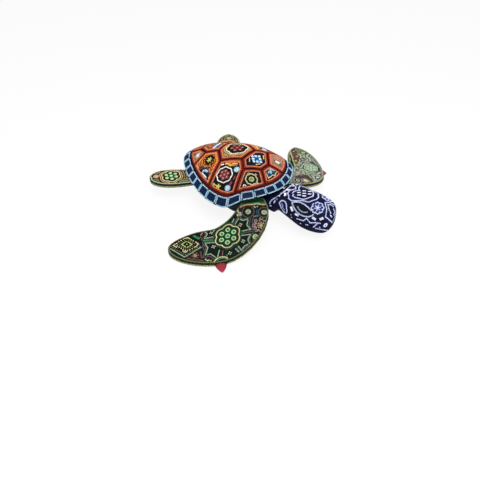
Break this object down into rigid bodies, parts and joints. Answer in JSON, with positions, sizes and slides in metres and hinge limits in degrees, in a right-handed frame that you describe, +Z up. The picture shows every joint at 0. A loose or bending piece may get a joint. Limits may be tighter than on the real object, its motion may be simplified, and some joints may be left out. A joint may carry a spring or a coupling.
{
  "type": "beaded turtle figurine",
  "caption": "Sea turtle figurine of carved wood covered in glass beads: domed scute shell, banded rim, swept front flippers with red claws and patterned head.",
  "frame": {"origin": "middle of the flat belly panel, straight below the shell's highest point", "axes": "+X towards the head, +Y towards the turtle's left, +Z up"},
  "size_m": [0.2357, 0.2809, 0.0769],
  "materials": {
    "carved_wood": "plain carved softwood",
    "flipper_core": "carved wood with green beads pressed in wax round its edge",
    "scute_beads": "opaque orange, red and black seed beads in wax",
    "rim_beads": "opaque navy and pale blue seed beads in wax",
    "belly_beads": "opaque navy seed beads in wax, pressed flat",
    "head_beads": "carved wood with navy and white seed beads pressed in wax",
    "flipper_beads": "opaque green, black, cream and mint seed beads in wax",
    "claw_red": "carved wood with a glossy red coat"
  },
  "bodies": {
    "root": {"body_core": "carved_wood", "belly_panel": "belly_beads", "head": "head_beads", "neck_dowel": "carved_wood", "vertebral_scute_1": "scute_beads", "vertebral_scute_2": "scute_beads", "vertebral_scute_3": "scute_beads", "vertebral_scute_4": "scute_beads", "vertebral_scute_5": "scute_beads", "costal_scute_left_1": "scute_beads", "costal_scute_left_2": "scute_beads", "costal_scute_left_3": "scute_beads", "costal_scute_left_4": "scute_beads", "costal_scute_right_1": "scute_beads", "costal_scute_right_2": "scute_beads", "costal_scute_right_3": "scute_beads", "costal_scute_right_4": "scute_beads", "rim_tile_nape": "rim_beads", "rim_tile_left_01": "rim_beads", "rim_tile_left_02": "rim_beads", "rim_tile_left_03": "rim_beads", "rim_tile_left_04": "rim_beads", "rim_tile_left_05": "rim_beads", "rim_tile_left_06": "rim_beads", "rim_tile_left_07": "rim_beads", "rim_tile_left_08": "rim_beads", "rim_tile_left_09": "rim_beads", "rim_tile_left_10": "rim_beads", "rim_tile_left_11": "rim_beads", "rim_tile_left_12": "rim_beads", "rim_tile_right_01": "rim_beads", "rim_tile_right_02": "rim_beads", "rim_tile_right_03": "rim_beads", "rim_tile_right_04": "rim_beads", "rim_tile_right_05": "rim_beads", "rim_tile_right_06": "rim_beads", "rim_tile_right_07": "rim_beads", "rim_tile_right_08": "rim_beads", "rim_tile_right_09": "rim_beads", "rim_tile_right_10": "rim_beads", "rim_tile_right_11": "rim_beads", "rim_tile_right_12": "rim_beads", "rim_tile_tail": "rim_beads", "front_flipper_left_core": "flipper_core", "front_flipper_left_bead_panel": "flipper_beads", "front_flipper_left_dowel": "carved_wood", "front_flipper_right_core": "flipper_core", "front_flipper_right_bead_panel": "flipper_beads", "front_flipper_right_dowel": "carved_wood", "rear_flipper_left_core": "flipper_core", "rear_flipper_left_bead_panel": "flipper_beads", "rear_flipper_left_dowel": "carved_wood", "rear_flipper_right_core": "flipper_core", "rear_flipper_right_bead_panel": "flipper_beads", "rear_flipper_right_dowel": "carved_wood", "claw_left": "claw_red", "claw_right": "claw_red"}
  },
  "joints": []
}
